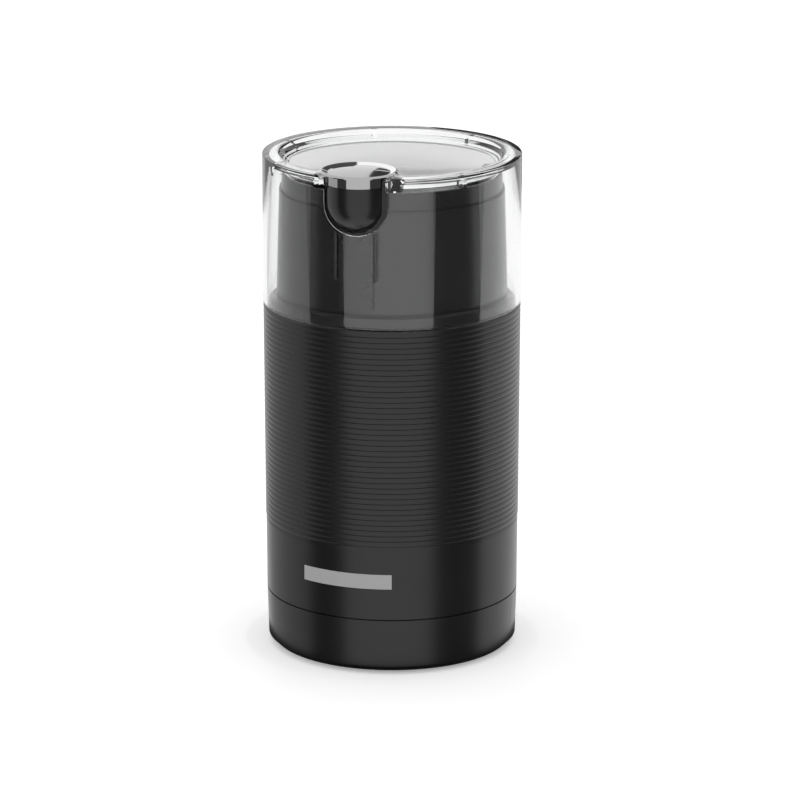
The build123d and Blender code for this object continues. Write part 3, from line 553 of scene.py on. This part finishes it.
def plated(name, dark, bright, roughness, centre, inner, outer, height):
    """Dark plating with a bright ring between two radii, above a height."""
    material, shader = new_finish(name, (dark, dark, dark), roughness, Metallic=1.0)
    place = place_on(material)
    centred = (-centre[0], -centre[1], 0)
    flat = place.through("ShaderNodeMapping", "Vector", Location=centred, Scale=(1, 1, 0))
    away = flat.through("ShaderNodeVectorMath", 0, "Value", operation="LENGTH")
    tall = place.through("ShaderNodeSeparateXYZ", "Vector", "Z")
    ring = (away > inner) * (away < outer) * (tall > height)
    (ring * (bright - dark) + dark).into(shader, "Base Color")
    return material


# %% [markdown]
# ## One finish for each kind of material
# The record names a material for every solid, so the finishes carry the same names. Cap and badge
# have finishes of their own, because they look unlike the solids that share their material.

# %% List the finishes
matt_low, matt_high = rim_z - 16 * mm, rim_z - 11 * mm
ring_under = cap_top - ring_flange
finishes = {
    "dark_shell": moulded("dark_shell_finish", (0.0065, 0.0065, 0.0068), 0.29, 0.5 * mm, 0.002 * mm),
    "black_plastic": moulded(
        "black_plastic_finish", (0.009, 0.009, 0.0092), 0.24, 0.35 * mm, 0.004 * mm, index=1.59
    ),
    "button_plastic": moulded("button_plastic_finish", (0.007, 0.007, 0.0072), 0.27, 0.5 * mm, 0.001 * mm),
    "inner_plastic": moulded("inner_plastic_finish", (0.62, 0.6, 0.54), 0.45, 0.4 * mm, 0.004 * mm),
    "clear_plastic": clear("clear_plastic_finish", (0.985, 0.99, 0.99)),
    "rubber": moulded("rubber_finish", (0.02, 0.02, 0.02), 0.7, 0.3 * mm, 0.01 * mm),
    "carbon": moulded("carbon_finish", (0.015, 0.015, 0.015), 0.6, 0.2 * mm, 0.01 * mm),
    "polished_steel": bowl_steel(
        "polished_steel_finish", (0.95, 0.95, 0.95), 0.14, 0.6, matt_low, matt_high
    ),
    "zinc_steel": metal("zinc_steel_finish", (0.6, 0.6, 0.61), 0.35, (1, 1, 0.05)),
    "bronze": metal("bronze_finish", (0.6, 0.42, 0.2), 0.4, (1, 1, 1)),
    "lamination": metal("lamination_finish", (0.2, 0.2, 0.21), 0.5, (0.1, 0.1, 6)),
    "copper": metal("copper_finish", (0.58, 0.22, 0.1), 0.38, (1, 1, 4)),
    "dark_chrome": metal("dark_chrome_finish", (0.45, 0.45, 0.455), 0.1, (1, 1, 1)),
    "plated": plated("plated_finish", 0.43, 0.92, 0.07, button_centre, dome_radius, slope_top, ring_under),
    "badge_satin": moulded("badge_satin_finish", (0.36, 0.36, 0.365), 0.5, 0.3 * mm, 0.001 * mm),
}
print("finishes:", len(finishes))

# %% Give every piece its finish
for entry in frame["record"]["subparts"]:
    node = frame["nodes"][entry["node"]]
    node.data.materials.clear()
    node.data.materials.append(finishes[entry["material_slot"]])
dressed = (
    (ribbed_body, "dark_shell"),
    (clear_lid, "clear_plastic"),
    (plated_cap, "plated"),
    (rod_guides, "button_plastic"),
    (badge_plate, "badge_satin"),
)
for piece, finish in dressed:
    piece.data.materials.clear()
    piece.data.materials.append(finishes[finish])

# %% [markdown]
# ## The camera
# A long lens from a metre and a half keeps the tall body nearly parallel, as in a catalogue picture.
# The camera stands a little to the right of the button and looks down at the lid.

# %% Set up the camera
camera_turn = 17
camera_distance = 1479.5 * mm
camera_rise = 367.8 * mm
camera_pitch = 15.303
camera_data = bpy.data.cameras.new("camera")
camera_data.lens = 192.2
camera_data.sensor_width = 36
camera_data.shift_x = 0.01
camera = bpy.data.objects.new("camera", camera_data)
bpy.context.collection.objects.link(camera)
turn = math.radians(camera_turn)
camera.location = (
    camera_distance * math.sin(turn), -camera_distance * math.cos(turn), shoulder_z + camera_rise
)
camera.rotation_euler = (math.radians(90 - camera_pitch), 0, turn)
bpy.context.scene.camera = camera
print("camera at", [round(value, 3) for value in camera.location])

# %% [markdown]
# ## Dark screens
# Gloss only shows what stands round the object. Dark screens to the left and right of the camera
# give the black body its dark bands, two behind it darken one half of the button's ring and dome,
# and a grey one softens the far left. The gap between the two back screens is what the flat top of
# the lid mirrors, so that stays light. The screens only show in gloss, so they shade nothing.


# %% Screens that only gloss can see
def screen_paint(name, level):
    """Paint of an even level that shows only after a reflection, also through clear plastic."""
    material, shader = new_finish(name, (0, 0, 0), 1.0)
    shader.inputs["Emission Color"].default_value = (level, level, level, 1)
    shader.inputs["Emission Strength"].default_value = 1.0
    tree = material.node_tree
    see_through = tree.nodes.new("ShaderNodeBsdfTransparent")
    shown = tree.nodes.new("ShaderNodeMixShader")
    reflections = ray_kind(material, "Glossy Depth")
    reflections.maths("MINIMUM", reflections, 1).into(shown, 0)
    tree.links.new(see_through.outputs[0], shown.inputs[1])
    tree.links.new(shader.outputs[0], shown.inputs[2])
    tree.links.new(shown.outputs[0], tree.nodes["Material Output"].inputs["Surface"])
    return material


def glossy_only(panel):
    """Keeps a panel out of the picture and out of the light, apart from gloss."""
    for sight in ("camera", "diffuse", "volume_scatter", "shadow"):
        setattr(panel, "visible_" + sight, False)


def screen(name, first, last, low, high, level, through_plastic=True):
    """A curved screen between two angles to the right of the camera and between two heights."""
    bm = bmesh.new()
    foot = bm.verts.new((0, -screen_distance, low))
    head = bm.verts.new((0, -screen_distance, high))
    edge = bm.edges.new((foot, head))
    begin = Matrix.Rotation(math.radians(camera_turn + first), 4, "Z")
    bmesh.ops.transform(bm, matrix=begin, verts=bm.verts)
    bmesh.ops.spin(
        bm, geom=[foot, head, edge], cent=(0, 0, 0), axis=(0, 0, 1),
        angle=math.radians(last - first), steps=24, use_merge=False,
    )
    panel = finished(name, bm)
    panel.data.materials.append(screen_paint(name + "_paint", level))
    panel.visible_transmission = through_plastic
    glossy_only(panel)
    return panel


screen_distance = 2.2
screens = [
    screen("left_screen", -80, -44, -3, 3, 0.06),
    screen("right_screen", 38, 87, -3, 3, 0.06),
    screen("upper_back_screen", 154, 178.8, 0.69, 4, 0.05, through_plastic=False),
    screen("lower_back_screen", 165, 178.8, -0.3, 0.62, 0.05, through_plastic=False),
    screen("grey_screen", -150, -80, -3, 0.4, 0.65),
]
print("screens:", len(screens))

# %% [markdown]
# ## White room and pale floor
# A plain white world lights the object evenly from all sides. The floor is a little lighter to the
# camera than to the rest of the room, so it blends into the white and keeps the soft shadow. A dark
# card under the base is a painted shadow that only gloss sees: the base's bevelled edge mirrors it as
# contact shade, where it would otherwise mirror white below the floor.

# %% Build the room
# Painted shade: a dark disc, seen only in gloss, that stands in for the contact shadow under the base.
card_margin = 8 * mm
card_mesh = bmesh.new()
bmesh.ops.create_circle(card_mesh, cap_ends=True, radius=base_radius + card_margin, segments=96)
contact_shadow_card = finished("contact_shadow_card", card_mesh)
contact_shadow_card.data.materials.append(screen_paint("contact_shadow_card_paint", 0.02))
glossy_only(contact_shadow_card)

world = bpy.data.worlds.new("white_room")
world.use_nodes = True
world.node_tree.nodes["Background"].inputs["Color"].default_value = (1, 1, 1, 1)
world.node_tree.nodes["Background"].inputs["Strength"].default_value = 1.0
bpy.context.scene.world = world

floor_size = 30
floor_lift = 0.3
floor_mesh = bmesh.new()
bmesh.ops.create_grid(floor_mesh, x_segments=1, y_segments=1, size=floor_size)
floor = finished("floor", floor_mesh)
floor_paint, floor_shader = new_finish("floor_paint", (0.9, 0.9, 0.9), 0.5, Specular_IOR_Level=0.2)
(ray_kind(floor_paint, "Is Camera Ray") * floor_lift).into(floor_shader, "Emission Color")
floor_shader.inputs["Emission Strength"].default_value = 1.0
floor.data.materials.append(floor_paint)
floor.visible_glossy = False
floor.visible_transmission = False
bpy.context.scene.view_settings.view_transform = "Standard"
print("room and floor are ready")
